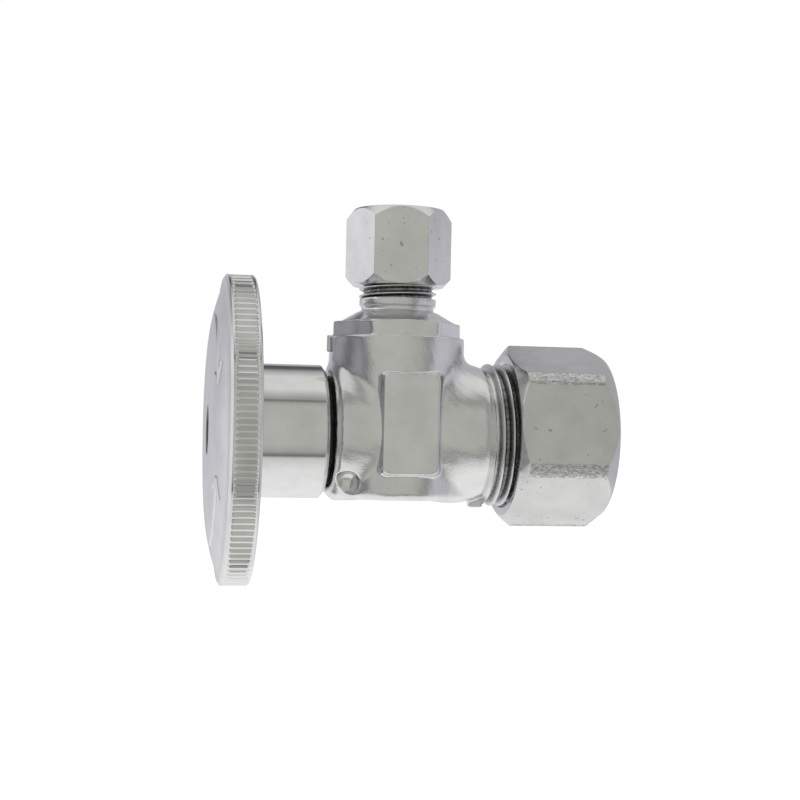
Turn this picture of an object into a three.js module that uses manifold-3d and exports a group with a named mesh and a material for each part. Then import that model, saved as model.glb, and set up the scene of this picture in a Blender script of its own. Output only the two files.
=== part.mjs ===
// Multi-turn angle stop valve: 5/8 in OD compression inlet, 1/4 in OD compression outlet.
// Millimetres, +Z up. The origin is the centre of the inlet nut's outer face.
// +X points out of the inlet, +Z out of the outlet, and the handle is at -X.
import * as THREE from 'three';
import { mergeVertices } from 'three/addons/utils/BufferGeometryUtils.js';
import Module from 'manifold-3d';

const wasm = await Module();
wasm.setup();

// ---- Driving dimensions -------------------------------------------------------------
// Heights along an axis are measured from the point where the run and outlet axes cross.
const GAP = 0.3; // clearance between pieces that touch in use

const ROUND = 40; // sides of a large turned surface
const ROUND_SMALL = 24; // sides of a small turned surface

// Threads: outer radius, pitch, sides per turn. All are right-handed.
const INLET_THREAD = { radius: 10.32, pitch: 25.4 / 18, sides: 20 };
const OUTLET_THREAD = { radius: 5.556, pitch: 25.4 / 24, sides: 16 };
const STEM_THREAD = { radius: 4.762, pitch: 25.4 / 16, sides: 16 };
const THREAD_DEPTH = 0.6134; // depth of a thread, in pitches
const CREST_HALF = 1 / 16; // half width of a crest, in pitches
const ROOT_HALF = 3 / 8; // half width of a tooth at its root, in pitches
const THREAD_PLAY = 0.18; // radial play between male and female threads
const FLANK_PLAY = 0.09; // axial play on each flank

// Body
const BOSS_RADIUS = 9.7;
const BOSS_BOTTOM = -9.3;
const BOSS_TOP = 13.7;
const RUN_RADIUS = 9.9;
const NECK_RADIUS = 8.6; // outside radius at the bonnet face
const BONNET_FACE = 9.6; // distance of the bonnet face from the outlet axis
const COLLAR_FLATS = 16.4;
const COLLAR_TOP = 15.85;
const CONE_TOP = 17.35;
const OUTLET_THREAD_START = 18.9;
const OUTLET_END = 27.5;
const INLET_THREAD_START = 12.3;
const INLET_END = 24.0;
const PAD_WIDTH = 7.9;
const PAD_HEIGHT = 13.9;
const PAD_CENTRE = [0.55, 1.35]; // along X and Z
const PAD_CORNER = 1.1;
const PAD_FACE = 10.2; // distance of the pad's face from the outlet axis

// Waterway
const CHAMBER_RADIUS = 5.6;
const CHAMBER_FLOOR = 4.9;
const SEAT_HEIGHT = 3.9; // distance of the seat from the outlet axis
const SEAT_RADIUS = 3.9;
const ORIFICE_RADIUS = 3.0;
const INLET_SOCKET_RADIUS = 8.1;
const INLET_TUBE_STOP = 11.0;
const OUTLET_PASSAGE_RADIUS = 2.4;
const OUTLET_SOCKET_RADIUS = 3.3;
const OUTLET_TUBE_STOP = 18.0;

// Bonnet and packing, measured from the outlet axis towards the handle
const BONNET_THREAD_RADIUS = 6.35;
const BONNET_INNER_END = 5.2;
const BONNET_COLLAR = 10.7;
const BONNET_COLLAR_RADIUS = 7.6;
const BONNET_HEX = 11.7;
const BONNET_HEX_END = 14.2;
const BONNET_HEX_FLATS = 13.0;
const BONNET_END = 18.3;
const PACKING_THREAD_RADIUS = 5.56;
const PACKING_FLOOR = 14.0;
const PACKING_RADIUS = 4.4; // radius of the packing chamber
const BACK_SEAT = 12.3; // shoulder that stops the opening stem
const STEM_BORE_RADIUS = 3.3;
const PACKING_NUT_START = 14.8;
const PACKING_NUT_CAP = 18.7;
const PACKING_NUT_END = 20.0;
const PACKING_NUT_FLATS = 12.7;

// Stem and disc
const STEM_HEAD_RADIUS = 4.3;
const STEM_THREAD_START = 2.0;
const STEM_THREAD_END = 8.9;
const SHANK_RADIUS = 3.0;
const SQUARE_START = 20.1;
const STEM_END = 24.4;
const SQUARE_SIDE = 4.24;
const SWIVEL_BORE_RADIUS = 1.9;
const SWIVEL_GROOVE_RADIUS = 2.6;
const STUB_RADIUS = 1.6;
const DISC_RADIUS = 4.9;
const WASHER_RADIUS = 4.2;

// Handle
const HANDLE_RADIUS = 21.95;
const HANDLE_BACK = 20.9;
const HANDLE_FRONT = 25.1; // front plane of the rim
const HANDLE_CROWN = 26.9; // top of the domed face
const CROWN_RADIUS = 11.0; // the face is flat inside this radius
const BAND_RADIUS = 21.4; // root of the flutes
const BAND_START = 21.55;
const BAND_END = 24.25;
const FLUTES = 112;
const SKIRT_RADIUS = 9.5;
const SKIRT_BORE = 8.0;
const SKIRT_END = 10.5;
const HANDLE_FLOOR = 20.5; // inner floor of the skirt
const SCREW_SEAT = 24.9;
const SCREW_HOLE_RADIUS = 3.5;
const BACK_RECESS = 23.1; // depth of the hollow behind the rim

// Compression nuts
const INLET_NUT = { flats: 23.7, start: 15.8, end: 30.1, turn: -8.8 };
const OUTLET_NUT = { flats: 13.25, start: 21.05, end: 32.07, turn: -6.5 };
const INLET_REACH = INLET_NUT.end;

// ---- Solid helpers ------------------------------------------------------------------

// Turns a closed geometry into a manifold solid with its faces pointing out.
function solid(geometry) {
  const bare = geometry.clone();
  bare.deleteAttribute('normal');
  bare.deleteAttribute('uv');
  const merged = mergeVertices(bare);
  const place = merged.getAttribute('position');
  const index = merged.getIndex().array;
  const corners = [];
  for (let i = 0; i < index.length; i += 3) {
    const [a, b, c] = [index[i], index[i + 1], index[i + 2]];
    if (a !== b && b !== c && c !== a) {
      corners.push(a, b, c);
    }
  }
  const points = corners.map((i) => new THREE.Vector3().fromBufferAttribute(place, i));
  let volume = 0;
  for (let i = 0; i < points.length; i += 3) {
    volume += points[i].dot(points[i + 1].clone().cross(points[i + 2]));
  }
  if (volume < 0) {
    corners.reverse();
  }
  return new wasm.Manifold(new wasm.Mesh({
    numProp: 3,
    vertProperties: new Float32Array(place.array),
    triVerts: new Uint32Array(corners),
  }));
}

// Turns a manifold solid back into a geometry with flat shading normals.
function geometryOf(shape) {
  const mesh = shape.getMesh();
  const geometry = new THREE.BufferGeometry();
  geometry.setAttribute('position', new THREE.BufferAttribute(mesh.vertProperties, 3));
  geometry.setIndex(new THREE.BufferAttribute(mesh.triVerts, 1));
  geometry.computeVertexNormals();
  return geometry;
}

// A solid of revolution about Z from [radius, height] pairs. The profile starts and
// ends on the axis, or closes on itself.
function turned(profile, sides = ROUND) {
  const points = profile.map(([radius, height]) => new THREE.Vector2(radius, height));
  const geometry = new THREE.LatheGeometry(points, sides);
  geometry.rotateX(Math.PI / 2);
  return solid(geometry);
}

// A ring of revolution about Z, whose profile is closed here.
function ring(profile, sides = ROUND_SMALL) {
  return turned([...profile, profile[0]], sides);
}

// A hexagonal prism along Z. A flat faces -Y.
function hexPrism(flats, start, end) {
  const corner = flats / 2 / Math.cos(Math.PI / 6);
  const geometry = new THREE.CylinderGeometry(corner, corner, end - start, 6);
  geometry.rotateX(Math.PI / 2);
  geometry.rotateZ(Math.PI / 6);
  geometry.translate(0, 0, (start + end) / 2);
  return solid(geometry);
}

function box(width, depth, height, x, y, z) {
  const geometry = new THREE.BoxGeometry(width, depth, height);
  geometry.translate(x, y, z);
  return solid(geometry);
}

// A hexagonal nut blank along Z with both ends chamfered to 30 degrees.
function hexBlank(flats, start, end, chamfer) {
  const corner = flats / 2 / Math.cos(Math.PI / 6);
  const drop = chamfer * Math.tan(Math.PI / 6);
  const envelope = turned([
    [0, start],
    [corner - chamfer, start],
    [corner + 0.1, start + drop],
    [corner + 0.1, end - drop],
    [corner - chamfer, end],
    [0, end],
  ]);
  return hexPrism(flats, start, end).intersect(envelope);
}

// A solid screw about Z from start to end. Play makes it larger, to cut a female thread.
// The surface is one helical strip of four bands, closed by a fan at each end.
function screw({ radius, pitch, sides }, start, end, play = 0, flankPlay = 0) {
  const crest = radius + play;
  const root = radius - THREAD_DEPTH * pitch + play;
  const crestHalf = CREST_HALF * pitch + flankPlay;
  const rootHalf = ROOT_HALF * pitch + flankPlay;
  const profile = [[root, -rootHalf], [crest, -crestHalf], [crest, crestHalf], [root, rootHalf]];
  const firstTurn = Math.floor(start / pitch) - 2;
  const lastTurn = Math.ceil(end / pitch) + 2;
  const steps = (lastTurn - firstTurn) * sides;
  const positions = [];
  for (let i = 0; i <= steps; i += 1) {
    const angle = (2 * Math.PI * (i % sides)) / sides;
    const height = (firstTurn + i / sides) * pitch;
    for (const [reach, offset] of profile) {
      positions.push(reach * Math.cos(angle), reach * Math.sin(angle), height + offset);
    }
  }
  const vertex = (i, k) => 4 * i + k;
  const bottom = positions.length / 3;
  const top = bottom + 1;
  positions.push(0, 0, firstTurn * pitch);
  positions.push(0, 0, lastTurn * pitch);
  const faces = [];
  const quad = (a, b, c, d) => faces.push(a, b, c, a, c, d);
  for (let i = 0; i < steps; i += 1) {
    for (let k = 0; k < 3; k += 1) {
      quad(vertex(i, k), vertex(i + 1, k), vertex(i + 1, k + 1), vertex(i, k + 1));
    }
    if (i + sides < steps) {
      const next = i + sides;
      quad(vertex(i, 3), vertex(i + 1, 3), vertex(next + 1, 0), vertex(next, 0));
    }
  }
  for (let i = 0; i < sides; i += 1) {
    const last = steps - sides + i;
    faces.push(bottom, vertex(i + 1, 0), vertex(i, 0));
    faces.push(top, vertex(last, 3), vertex(last + 1, 3));
  }
  faces.push(bottom, vertex(0, 3), vertex(sides, 0));
  faces.push(top, vertex(steps, 0), vertex(steps - sides, 3));
  for (let k = 0; k < 3; k += 1) {
    faces.push(bottom, vertex(0, k), vertex(0, k + 1));
    faces.push(top, vertex(steps, k + 1), vertex(steps, k));
  }
  const geometry = new THREE.BufferGeometry();
  geometry.setAttribute('position', new THREE.Float32BufferAttribute(positions, 3));
  geometry.setIndex(faces);
  return solid(geometry);
}

// A male thread with a chamfer at both ends, as a solid bar.
function maleThread(thread, start, end, chamfer) {
  const outer = thread.radius + 0.05;
  const bar = turned([
    [0, start],
    [outer - chamfer, start],
    [outer, start + chamfer],
    [outer, end - chamfer],
    [outer - chamfer, end],
    [0, end],
  ], thread.sides);
  return screw(thread, start, end).intersect(bar);
}

// The cutter for a female thread from start to end.
function femaleThread(thread, start, end) {
  const outer = thread.radius + 1;
  const bar = turned([[0, start], [outer, start], [outer, end], [0, end]], thread.sides);
  return screw(thread, start, end, THREAD_PLAY, FLANK_PLAY).intersect(bar);
}

// Bore radius that leaves the female thread's crests.
function minorRadius({ radius, pitch }) {
  return radius - THREAD_DEPTH * pitch + 2 * THREAD_PLAY;
}

// Turns a solid made along +Z to lie along +X.
function alongRun(shape) {
  return shape.rotate([0, 90, 0]);
}

// ---- Sub-parts ----------------------------------------------------------------------

function padSolid() {
  const [w, h, r] = [PAD_WIDTH / 2, PAD_HEIGHT / 2, PAD_CORNER];
  const outline = new THREE.Shape();
  outline.absarc(w - r, h - r, r, 0, Math.PI / 2);
  outline.absarc(r - w, h - r, r, Math.PI / 2, Math.PI);
  outline.absarc(r - w, r - h, r, Math.PI, 1.5 * Math.PI);
  outline.absarc(w - r, r - h, r, 1.5 * Math.PI, 2 * Math.PI);
  const geometry = new THREE.ExtrudeGeometry(outline, {
    depth: PAD_FACE - CHAMBER_RADIUS - 1,
    bevelEnabled: false,
    curveSegments: 4,
  });
  geometry.rotateX(Math.PI / 2);
  geometry.translate(PAD_CENTRE[0], -CHAMBER_RADIUS - 1, PAD_CENTRE[1]);
  return solid(geometry);
}

function bodySolid() {
  const boss = turned([
    [0, BOSS_BOTTOM],
    [BOSS_RADIUS - 0.5, BOSS_BOTTOM],
    [BOSS_RADIUS, BOSS_BOTTOM + 0.5],
    [BOSS_RADIUS, BOSS_TOP],
    [0, BOSS_TOP],
  ]);
  const run = alongRun(turned([
    [0, -BONNET_FACE],
    [NECK_RADIUS, -BONNET_FACE],
    [RUN_RADIUS - 0.2, 1 - BONNET_FACE],
    [RUN_RADIUS, 0],
    [RUN_RADIUS, INLET_THREAD_START],
    [RUN_RADIUS - 0.4, INLET_THREAD_START + 0.4],
    [0, INLET_THREAD_START + 0.4],
  ]));
  const collarCorner = COLLAR_FLATS / 2 / Math.cos(Math.PI / 6);
  const collar = hexPrism(COLLAR_FLATS, BOSS_TOP - 1, COLLAR_TOP);
  const cone = turned([
    [0, BOSS_TOP],
    [collarCorner - 1.2, BOSS_TOP],
    [collarCorner - 1.2, COLLAR_TOP],
    [OUTLET_THREAD.radius + 0.4, CONE_TOP],
    [OUTLET_THREAD.radius - 0.05, CONE_TOP + 0.4],
    [OUTLET_THREAD.radius - 0.05, OUTLET_THREAD_START],
    [0, OUTLET_THREAD_START],
  ], ROUND_SMALL);
  const inletThread = alongRun(maleThread(INLET_THREAD, INLET_THREAD_START, INLET_END, 0.8));
  const outletThread = maleThread(OUTLET_THREAD, OUTLET_THREAD_START - 0.5, OUTLET_END, 0.6);
  return boss.add(run).add(collar).add(cone).add(padSolid()).add(inletThread).add(outletThread);
}

function valveBody() {
  const run = alongRun(turned([
    [0, -BONNET_FACE - 1],
    [BONNET_THREAD_RADIUS + GAP, -BONNET_FACE - 1],
    [BONNET_THREAD_RADIUS + GAP, GAP - BONNET_INNER_END],
    [CHAMBER_RADIUS, GAP - BONNET_INNER_END],
    [CHAMBER_RADIUS, CHAMBER_FLOOR],
    [SEAT_RADIUS, CHAMBER_FLOOR],
    [SEAT_RADIUS, SEAT_HEIGHT],
    [ORIFICE_RADIUS, SEAT_HEIGHT],
    [ORIFICE_RADIUS, INLET_TUBE_STOP],
    [INLET_SOCKET_RADIUS, INLET_TUBE_STOP],
    [INLET_SOCKET_RADIUS, INLET_END - 1.1],
    [INLET_SOCKET_RADIUS + 1, INLET_END + 0.2],
    [INLET_SOCKET_RADIUS + 1, INLET_END + 1],
    [0, INLET_END + 1],
  ]));
  const outlet = turned([
    [0, CHAMBER_RADIUS / 2],
    [OUTLET_PASSAGE_RADIUS, CHAMBER_RADIUS / 2],
    [OUTLET_PASSAGE_RADIUS, OUTLET_TUBE_STOP],
    [OUTLET_SOCKET_RADIUS, OUTLET_TUBE_STOP],
    [OUTLET_SOCKET_RADIUS, OUTLET_END - 0.8],
    [OUTLET_SOCKET_RADIUS + 0.8, OUTLET_END + 0.2],
    [OUTLET_SOCKET_RADIUS + 0.8, OUTLET_END + 1],
    [0, OUTLET_END + 1],
  ], ROUND_SMALL);
  return bodySolid().subtract(run).subtract(outlet);
}

function bonnet() {
  const outside = turned([
    [0, BONNET_INNER_END],
    [BONNET_THREAD_RADIUS - 0.5, BONNET_INNER_END],
    [BONNET_THREAD_RADIUS, BONNET_INNER_END + 0.5],
    [BONNET_THREAD_RADIUS, BONNET_COLLAR],
    [BONNET_COLLAR_RADIUS, BONNET_COLLAR],
    [BONNET_COLLAR_RADIUS, BONNET_HEX],
    [PACKING_THREAD_RADIUS, BONNET_HEX],
    [PACKING_THREAD_RADIUS, BONNET_END],
    [0, BONNET_END],
  ], ROUND_SMALL);
  const hex = hexPrism(BONNET_HEX_FLATS, BONNET_HEX - 0.5, BONNET_HEX_END);
  const minor = minorRadius(STEM_THREAD);
  const bore = turned([
    [0, BONNET_INNER_END - 1],
    [minor, BONNET_INNER_END - 1],
    [minor, BACK_SEAT],
    [STEM_BORE_RADIUS, BACK_SEAT],
    [STEM_BORE_RADIUS, PACKING_FLOOR],
    [PACKING_RADIUS, PACKING_FLOOR],
    [PACKING_RADIUS, BONNET_END + 1],
    [0, BONNET_END + 1],
  ], STEM_THREAD.sides);
  const thread = femaleThread(STEM_THREAD, BONNET_INNER_END - 1, BACK_SEAT);
  return outside.add(hex).subtract(bore).subtract(thread);
}

function bonnetGasket() {
  const inner = BONNET_THREAD_RADIUS + GAP;
  return ring([
    [inner, BONNET_FACE + GAP],
    [BONNET_COLLAR_RADIUS, BONNET_FACE + GAP],
    [BONNET_COLLAR_RADIUS, BONNET_COLLAR - GAP],
    [inner, BONNET_COLLAR - GAP],
  ]);
}

// A plain ring in the packing chamber.
function packingRing(start, end) {
  return ring([
    [SHANK_RADIUS + GAP, start],
    [PACKING_RADIUS - GAP, start],
    [PACKING_RADIUS - GAP, end],
    [SHANK_RADIUS + GAP, end],
  ]);
}

function stemPacking() {
  const middle = (SHANK_RADIUS + PACKING_RADIUS) / 2;
  return ring([
    [SHANK_RADIUS + GAP, PACKING_FLOOR + 1.2],
    [PACKING_RADIUS - GAP, PACKING_FLOOR + 1.2],
    [PACKING_RADIUS - GAP, PACKING_FLOOR + 2.6],
    [middle, PACKING_FLOOR + 2.9],
    [SHANK_RADIUS + GAP, PACKING_FLOOR + 2.6],
  ]);
}

function packingNut() {
  const bore = turned([
    [0, PACKING_NUT_START - 1],
    [PACKING_THREAD_RADIUS + GAP, PACKING_NUT_START - 1],
    [PACKING_THREAD_RADIUS + GAP, PACKING_NUT_CAP],
    [SHANK_RADIUS + GAP, PACKING_NUT_CAP],
    [SHANK_RADIUS + GAP, PACKING_NUT_END + 1],
    [0, PACKING_NUT_END + 1],
  ], ROUND_SMALL);
  return hexBlank(PACKING_NUT_FLATS, PACKING_NUT_START, PACKING_NUT_END, 0.8).subtract(bore);
}

function stem() {
  const bar = turned([
    [0, 0],
    [STEM_HEAD_RADIUS - 0.3, 0],
    [STEM_HEAD_RADIUS, 0.3],
    [STEM_HEAD_RADIUS, STEM_THREAD_START - 0.3],
    [STEM_HEAD_RADIUS - 0.6, STEM_THREAD_START],
    [SHANK_RADIUS, STEM_THREAD_START],
    [SHANK_RADIUS, SQUARE_START],
    [0, SQUARE_START],
  ], ROUND_SMALL);
  const thread = maleThread(STEM_THREAD, STEM_THREAD_START - 0.1, STEM_THREAD_END, 0.8);
  const squareLength = STEM_END - SQUARE_START + 0.5;
  const square = box(SQUARE_SIDE, SQUARE_SIDE, squareLength, 0, 0, STEM_END - squareLength / 2);
  const screwHole = turned([[0, 16], [1.7, 16], [1.7, STEM_END + 1], [0, STEM_END + 1]], 24);
  const swivelBore = turned([
    [0, -1],
    [SWIVEL_BORE_RADIUS, -1],
    [SWIVEL_BORE_RADIUS, 2.6],
    [SWIVEL_GROOVE_RADIUS, 2.6],
    [SWIVEL_GROOVE_RADIUS, 3.8],
    [SWIVEL_BORE_RADIUS, 3.8],
    [SWIVEL_BORE_RADIUS, 4.7],
    [0, 4.7],
  ], 24);
  return bar.add(thread).add(square).subtract(screwHole).subtract(swivelBore);
}

function discHolder() {
  return turned([
    [0, 4.3],
    [STUB_RADIUS, 4.3],
    [STUB_RADIUS, 3.55],
    [1.1, 3.55],
    [1.1, 2.85],
    [STUB_RADIUS, 2.85],
    [STUB_RADIUS, -GAP],
    [DISC_RADIUS, -GAP],
    [DISC_RADIUS, -2.9],
    [WASHER_RADIUS + GAP, -2.9],
    [WASHER_RADIUS + GAP, -1.5],
    [1.25, -1.5],
    [1.25, 1.8],
    [0, 1.8],
  ], ROUND_SMALL);
}

function swivelRing() {
  const opening = Math.PI / 6;
  const outline = new THREE.Shape();
  outline.absarc(0, 0, 2.3, opening, 2 * Math.PI - opening);
  outline.absarc(0, 0, 1.3, 2 * Math.PI - opening, opening, true);
  const geometry = new THREE.ExtrudeGeometry(outline, {
    depth: 0.4,
    bevelEnabled: false,
    curveSegments: 16,
  });
  geometry.translate(0, 0, 3.0);
  return solid(geometry);
}

function seatWasher() {
  return ring([
    [1.3, -1.8],
    [WASHER_RADIUS, -1.8],
    [WASHER_RADIUS, -3.4],
    [WASHER_RADIUS - 0.2, -3.6],
    [1.3, -3.6],
  ]);
}

// A slotted screw along Z whose shank points up and whose head points down.
function slottedScrew(shank, tip, headRadius, headStart, headEnd, slot) {
  const rise = Math.sign(headStart - headEnd);
  const bar = turned([
    [0, tip],
    [shank - 0.3, tip],
    [shank, tip - 0.4 * rise],
    [shank, headStart],
    [headRadius, headStart],
    [headRadius, headEnd + 0.3 * rise],
    [headRadius - 0.5, headEnd],
    [0, headEnd],
  ], ROUND_SMALL);
  return bar.subtract(box(2 * headRadius + 1, slot, 1, 0, 0, headEnd));
}

function dome(radius) {
  const reach = (radius - CROWN_RADIUS) / (HANDLE_RADIUS - 1.4 - CROWN_RADIUS);
  return HANDLE_CROWN - (HANDLE_CROWN - HANDLE_FRONT) * reach ** 2;
}

function flutedBand() {
  const outline = new THREE.Shape();
  const pitch = (2 * Math.PI) / FLUTES;
  const at = (radius, angle) => [radius * Math.cos(angle), radius * Math.sin(angle)];
  for (let i = 0; i < FLUTES; i += 1) {
    const start = i * pitch;
    if (i === 0) {
      outline.moveTo(...at(BAND_RADIUS, start));
    } else {
      outline.lineTo(...at(BAND_RADIUS, start));
    }
    outline.lineTo(...at(HANDLE_RADIUS - 0.05, start + 0.5 * pitch));
  }
  outline.closePath();
  const geometry = new THREE.ExtrudeGeometry(outline, {
    depth: BAND_END - BAND_START + 0.4,
    bevelEnabled: false,
  });
  geometry.translate(0, 0, BAND_START - 0.2);
  return solid(geometry);
}

function handle() {
  const face = [];
  const rim = HANDLE_RADIUS - 1.4;
  for (let i = 0; i <= 5; i += 1) {
    const radius = rim + ((CROWN_RADIUS - rim) * i) / 5;
    face.push([radius, dome(radius)]);
  }
  const blank = turned([
    [0, HANDLE_FLOOR],
    [SKIRT_BORE, HANDLE_FLOOR],
    [SKIRT_BORE, SKIRT_END],
    [SKIRT_RADIUS - 0.95, SKIRT_END],
    [SKIRT_RADIUS, SKIRT_END + 0.75],
    [SKIRT_RADIUS, BACK_RECESS - 0.6],
    [SKIRT_RADIUS + 0.6, BACK_RECESS],
    [HANDLE_RADIUS - 2.6, BACK_RECESS],
    [HANDLE_RADIUS - 1.8, HANDLE_BACK],
    [HANDLE_RADIUS - 0.3, HANDLE_BACK],
    [HANDLE_RADIUS, HANDLE_BACK + 0.3],
    [HANDLE_RADIUS, BAND_START],
    [BAND_RADIUS - 0.3, BAND_START],
    [BAND_RADIUS - 0.3, BAND_END],
    [HANDLE_RADIUS, BAND_END],
    [HANDLE_RADIUS, BAND_END + 0.3],
    [HANDLE_RADIUS - 0.2, HANDLE_FRONT - 0.2],
    [HANDLE_RADIUS - 0.6, HANDLE_FRONT],
    ...face,
    [SCREW_HOLE_RADIUS, HANDLE_CROWN],
    [SCREW_HOLE_RADIUS, SCREW_SEAT],
    [0, SCREW_SEAT],
  ]);
  const socket = box(SQUARE_SIDE + 2 * GAP, SQUARE_SIDE + 2 * GAP, 10, 0, 0, HANDLE_FLOOR + 3);
  return blank.add(flutedBand()).subtract(socket);
}

// A compression nut along Z. The thread is at its start and a cone for the ferrule
// leads to the tube hole at its end.
function compressionNut(nut, thread, tubeRadius, threadEnd, chamfer) {
  const minor = minorRadius(thread);
  const relief = thread.radius + 0.28;
  const cone = relief - tubeRadius;
  const bore = turned([
    [0, nut.start - 1],
    [relief, nut.start - 1],
    [relief, nut.start],
    [minor, nut.start + 0.8],
    [minor, threadEnd],
    [relief, threadEnd],
    [relief, threadEnd + 0.7],
    [tubeRadius, threadEnd + 0.7 + 0.8 * cone],
    [tubeRadius, nut.end + 1],
    [0, nut.end + 1],
  ], thread.sides);
  const blank = hexBlank(nut.flats, nut.start, nut.end, chamfer);
  const turnedBlank = blank.rotate([0, 0, nut.turn]);
  return turnedBlank.subtract(bore).subtract(femaleThread(thread, nut.start - 1, threadEnd));
}

// A barrel-shaped compression sleeve along Z.
function ferrule(bore, bulge, start, end) {
  const taper = (end - start) / 3;
  return ring([
    [bore, start],
    [bore + 0.25, start],
    [bulge, start + taper],
    [bulge, end - taper],
    [bore + 0.4, end],
    [bore, end],
  ]);
}

// ---- Assembly -----------------------------------------------------------------------

function piece(name, shape, finish) {
  const mesh = new THREE.Mesh(geometryOf(shape), new THREE.MeshStandardMaterial(finish));
  mesh.name = name;
  return mesh;
}

const CHROME = { color: 0xc9c9c6, roughness: 0.12, metalness: 1 };
const BRASS = { color: 0xc8a860, roughness: 0.3, metalness: 1 };
const RUBBER = { color: 0x1c1c1c, roughness: 0.8, metalness: 0 };
const PACKING = { color: 0x34363a, roughness: 0.7, metalness: 0 };
const STEEL = { color: 0xa8a9aa, roughness: 0.35, metalness: 1 };

const outletSide = new THREE.Group();
outletSide.add(
  piece('outlet_nut', compressionNut(OUTLET_NUT, OUTLET_THREAD, 3.45, 28.3, 0.9), CHROME),
  piece('outlet_ferrule', ferrule(3.4, 4.5, 27.4, 30.2), BRASS),
);

const inletSide = new THREE.Group();
inletSide.rotation.y = Math.PI / 2;
inletSide.add(
  piece('inlet_nut', compressionNut(INLET_NUT, INLET_THREAD, 8.3, 25.2, 1.9), CHROME),
  piece('inlet_ferrule', ferrule(8.2, 9.3, 23.95, 27.1), BRASS),
);

const discSet = new THREE.Group();
discSet.add(
  piece('disc_holder', discHolder(), BRASS),
  piece('swivel_ring', swivelRing(), STEEL),
  piece('seat_washer', seatWasher(), RUBBER),
  piece('washer_screw', slottedScrew(1.0, 1.5, 2.2, -3.9, -4.8, 0.6), BRASS),
);

const stemSet = new THREE.Group();
stemSet.add(
  piece('stem', stem(), BRASS),
  piece('handle', handle(), CHROME),
  piece('handle_screw', slottedScrew(1.4, 16.8, 3.1, 25.2, 26.4, 0.9), BRASS),
);

const handleSide = new THREE.Group();
handleSide.rotation.y = -Math.PI / 2;
handleSide.add(
  piece('bonnet', bonnet(), BRASS),
  piece('bonnet_gasket', bonnetGasket(), RUBBER),
  piece('packing_washer', packingRing(PACKING_FLOOR + 0.3, PACKING_FLOOR + 0.9), BRASS),
  piece('stem_packing', stemPacking(), PACKING),
  piece('packing_follower', packingRing(PACKING_FLOOR + 3.2, PACKING_FLOOR + 4.4), BRASS),
  piece('packing_nut', packingNut(), BRASS),
  discSet,
  stemSet,
);

const valve = new THREE.Group();
valve.position.x = -INLET_REACH;
valve.add(piece('valve_body', valveBody(), CHROME), outletSide, inletSide, handleSide);

export default valve;
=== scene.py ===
"""Angle stop valve: the looks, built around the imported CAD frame."""

import math

import bmesh
import bpy
import numpy as np
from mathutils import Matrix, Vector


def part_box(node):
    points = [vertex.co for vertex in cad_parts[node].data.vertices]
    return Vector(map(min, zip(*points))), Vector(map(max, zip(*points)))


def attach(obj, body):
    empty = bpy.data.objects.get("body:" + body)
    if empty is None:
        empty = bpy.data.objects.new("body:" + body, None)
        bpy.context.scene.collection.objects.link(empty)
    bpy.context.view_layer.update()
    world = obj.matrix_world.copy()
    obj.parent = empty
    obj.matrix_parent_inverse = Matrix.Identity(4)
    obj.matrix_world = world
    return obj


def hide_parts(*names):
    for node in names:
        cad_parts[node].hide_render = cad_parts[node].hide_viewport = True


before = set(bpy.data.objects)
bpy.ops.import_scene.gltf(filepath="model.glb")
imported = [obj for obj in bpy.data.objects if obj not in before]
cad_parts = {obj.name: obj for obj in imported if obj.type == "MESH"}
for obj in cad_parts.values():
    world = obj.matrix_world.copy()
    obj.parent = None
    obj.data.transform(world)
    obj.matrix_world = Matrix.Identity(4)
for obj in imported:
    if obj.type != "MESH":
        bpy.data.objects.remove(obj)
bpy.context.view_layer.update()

import openvdb
from mathutils import Matrix, Vector

MM = 0.001


# ---- Places, read from the frame, in millimetres -------------------------------------

def node_box(node):
    """Lowest and highest corner of a CAD node, in millimetres."""
    low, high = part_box(node)
    return low / MM, high / MM


HANDLE_LOW, HANDLE_HIGH = node_box("handle")
INLET_LOW, INLET_HIGH = node_box("inlet_nut")
OUTLET_LOW, OUTLET_HIGH = node_box("outlet_nut")
OUTLET_X = (OUTLET_LOW.x + OUTLET_HIGH.x) / 2  # the outlet's axis

# Frames of the three axes. A lathe profile is [radius, height], and height is measured
# from the point where the run and outlet axes cross.
CROSSING = Matrix.Translation((OUTLET_X, 0, 0))
UP = CROSSING
INLET = CROSSING @ Matrix.Rotation(math.pi / 2, 4, "Y")
HANDLE = CROSSING @ Matrix.Rotation(-math.pi / 2, 4, "Y")

INLET_THREAD = {"radius": 10.32, "pitch": 25.4 / 18}
OUTLET_THREAD = {"radius": 5.556, "pitch": 25.4 / 24}
STEM_THREAD = {"radius": 4.762, "pitch": 25.4 / 16}
THREAD_DEPTH = 0.6134
THREAD_PLAY = 0.18


# ---- Mesh helpers --------------------------------------------------------------------

def arc_corner(before, corner, after, radius, steps):
    """Points of a curve that rounds a corner of a profile."""
    back = before - corner
    ahead = after - corner
    back_length, ahead_length = np.linalg.norm(back), np.linalg.norm(ahead)
    if radius <= 0 or min(back_length, ahead_length) < 1e-6:
        return [corner] * (steps + 1)
    back = back / back_length
    ahead = ahead / ahead_length
    half = math.acos(float(np.clip(back @ ahead, -1, 1))) / 2
    if half > 0.49 * math.pi:
        return [corner] * (steps + 1)
    reach = min(radius / math.tan(half), 0.45 * back_length, 0.45 * ahead_length)
    start, end = corner + back * reach, corner + ahead * reach
    points = []
    for i in range(steps + 1):
        t = i / steps
        points.append((1 - t) ** 2 * start + 2 * t * (1 - t) * corner + t * t * end)
    return points


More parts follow.
